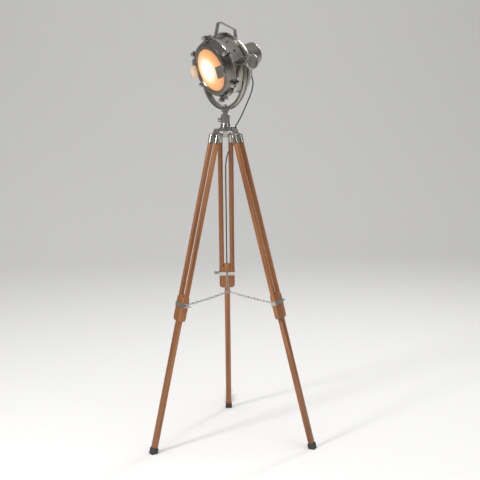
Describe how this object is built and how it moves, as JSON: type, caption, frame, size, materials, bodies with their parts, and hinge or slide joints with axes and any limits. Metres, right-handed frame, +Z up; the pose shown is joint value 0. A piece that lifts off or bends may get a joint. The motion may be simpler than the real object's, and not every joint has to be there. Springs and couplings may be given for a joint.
{
  "type": "tripod spotlight floor lamp",
  "caption": "Floor lamp with a round spotlight head in a U-shaped yoke on a wooden tripod with telescopic legs, leg clamps and stay chains.",
  "frame": {"origin": "on the floor, at the middle of the footprint of the three feet", "axes": "+Z up; -Y towards the two front legs, +Y towards the rear leg; +X to the right seen from the front"},
  "size_m": [0.6964, 0.8559, 1.7486],
  "materials": {
    "honey_wood": "clear satin lacquer over a warm honey-brown stain",
    "polished_nickel": "polished nickel",
    "brushed_nickel": "nickel plate with a soft polish",
    "black_rubber": "matt",
    "black_plastic": "matt, fine grain",
    "lens_glass": "clear, polished",
    "bulb_glass": "frosted inside",
    "warm_reflector": "spun and polished, warm tone"
  },
  "bodies": {
    "stand": {"hub_plate": "brushed_nickel", "leg_hinge_pins": "polished_nickel", "stem_socket": "brushed_nickel", "chain_ring": "polished_nickel", "cord_clip": "black_plastic", "left_chain": "brushed_nickel", "right_chain": "brushed_nickel", "rear_chain": "brushed_nickel"},
    "left_upper_leg": {"left_leg_rods": "honey_wood", "left_leg_ferrules": "polished_nickel", "left_leg_cheeks": "honey_wood", "left_leg_clamp": "polished_nickel"},
    "left_foot": {"left_lower_leg": "honey_wood", "left_shoe": "black_rubber"},
    "left_screw": {"left_clamp_screw": "polished_nickel"},
    "right_upper_leg": {"right_leg_rods": "honey_wood", "right_leg_ferrules": "polished_nickel", "right_leg_cheeks": "honey_wood", "right_leg_clamp": "polished_nickel"},
    "right_foot": {"right_lower_leg": "honey_wood", "right_shoe": "black_rubber"},
    "right_screw": {"right_clamp_screw": "polished_nickel"},
    "rear_upper_leg": {"rear_leg_rods": "honey_wood", "rear_leg_ferrules": "polished_nickel", "rear_leg_cheeks": "honey_wood", "rear_leg_clamp": "polished_nickel", "cord_leg": "black_plastic"},
    "rear_foot": {"rear_lower_leg": "honey_wood", "rear_shoe": "black_rubber", "cord_foot": "black_plastic", "cord_hank": "black_plastic", "hank_tie": "black_plastic", "plug": "black_plastic"},
    "rear_screw": {"rear_clamp_screw": "polished_nickel"},
    "yoke": {"stem": "polished_nickel", "yoke": "brushed_nickel", "yoke_nut": "polished_nickel", "cord_yoke": "black_plastic"},
    "head": {"tilt_bolts": "brushed_nickel", "drum": "brushed_nickel", "front_band": "polished_nickel", "rear_dome": "brushed_nickel", "rear_can": "brushed_nickel", "bezel_ring": "brushed_nickel", "lens_glass": "lens_glass", "lens_gasket": "black_rubber", "reflector": "warm_reflector", "bulb": "bulb_glass", "lamp_holder": "black_plastic", "lamp_bracket": "brushed_nickel", "side_plates": "polished_nickel", "swing_bolts": "polished_nickel", "thumb_nuts": "polished_nickel", "handle": "polished_nickel", "head_screws": "brushed_nickel", "cable_gland": "black_plastic", "cord_head": "black_plastic"},
    "near_knob": {"near_tilt_knob": "polished_nickel"},
    "far_knob": {"far_tilt_knob": "polished_nickel"},
    "stem_clamp_screw": {"stem_screw": "polished_nickel"}
  },
  "joints": [
    {"name": "left_leg_fold", "type": "hinge", "parent": "stand", "child": "left_upper_leg", "pos_m": [-0.0459, -0.1187, 1.288], "axis": [-0.5, 0.866, 0], "range_deg": [-14, 0], "deforming": ["left_chain"]},
    {"name": "left_leg_slide", "type": "slide", "parent": "left_upper_leg", "child": "left_foot", "axis": [0.2137, 0.1234, 0.9691], "range_m": [-0.02, 0.5]},
    {"name": "left_clamp_screw_turn", "type": "hinge", "parent": "left_upper_leg", "child": "left_screw", "pos_m": [-0.17528, -0.24108, 0.60771], "axis": [0.5, -0.866, 0], "range_deg": [0, 360]},
    {"name": "right_leg_fold", "type": "hinge", "parent": "stand", "child": "right_upper_leg", "pos_m": [0.0459, -0.1187, 1.288], "axis": [-0.5, -0.866, 0], "range_deg": [-14, 0], "deforming": ["right_chain"]},
    {"name": "right_leg_slide", "type": "slide", "parent": "right_upper_leg", "child": "right_foot", "axis": [-0.2137, 0.1234, 0.9691], "range_m": [-0.02, 0.5]},
    {"name": "right_clamp_screw_turn", "type": "hinge", "parent": "right_upper_leg", "child": "right_screw", "pos_m": [0.21658, -0.16955, 0.60771], "axis": [0.5, 0.866, 0], "range_deg": [0, 360]},
    {"name": "rear_leg_fold", "type": "hinge", "parent": "stand", "child": "rear_upper_leg", "pos_m": [0, -0.0392, 1.288], "axis": [1, 0, 0], "range_deg": [-14, 0], "deforming": ["rear_chain", "cord_leg"]},
    {"name": "rear_leg_slide", "type": "slide", "parent": "rear_upper_leg", "child": "rear_foot", "axis": [0, -0.2468, 0.9691], "range_m": [-0.02, 0.5], "deforming": ["cord_foot"]},
    {"name": "rear_clamp_screw_turn", "type": "hinge", "parent": "rear_upper_leg", "child": "rear_screw", "pos_m": [-0.0413, 0.11726, 0.67361], "axis": [-1, 0, 0], "range_deg": [0, 360]},
    {"name": "pan", "type": "hinge", "parent": "stand", "child": "yoke", "pos_m": [0, -0.0922, 1.38], "axis": [0, 0, 1], "range_deg": [-90, 90], "deforming": ["cord_yoke"]},
    {"name": "tilt", "type": "hinge", "parent": "yoke", "child": "head", "pos_m": [0, -0.0922, 1.587], "axis": [0.5519, -0.8339, 0], "range_deg": [-77, 43], "deforming": ["cord_head"]},
    {"name": "near_knob_turn", "type": "hinge", "parent": "yoke", "child": "near_knob", "pos_m": [0.09383, -0.23396, 1.587], "axis": [0.5519, -0.8339, 0], "range_deg": [0, 360]},
    {"name": "far_knob_turn", "type": "hinge", "parent": "yoke", "child": "far_knob", "pos_m": [-0.09383, 0.04956, 1.587], "axis": [-0.5519, 0.8339, 0], "range_deg": [0, 360]},
    {"name": "stem_screw_turn", "type": "hinge", "parent": "stand", "child": "stem_clamp_screw", "pos_m": [-0.02363, -0.09636, 1.354], "axis": [-0.9848, -0.1736, 0], "range_deg": [0, 360]}
  ]
}
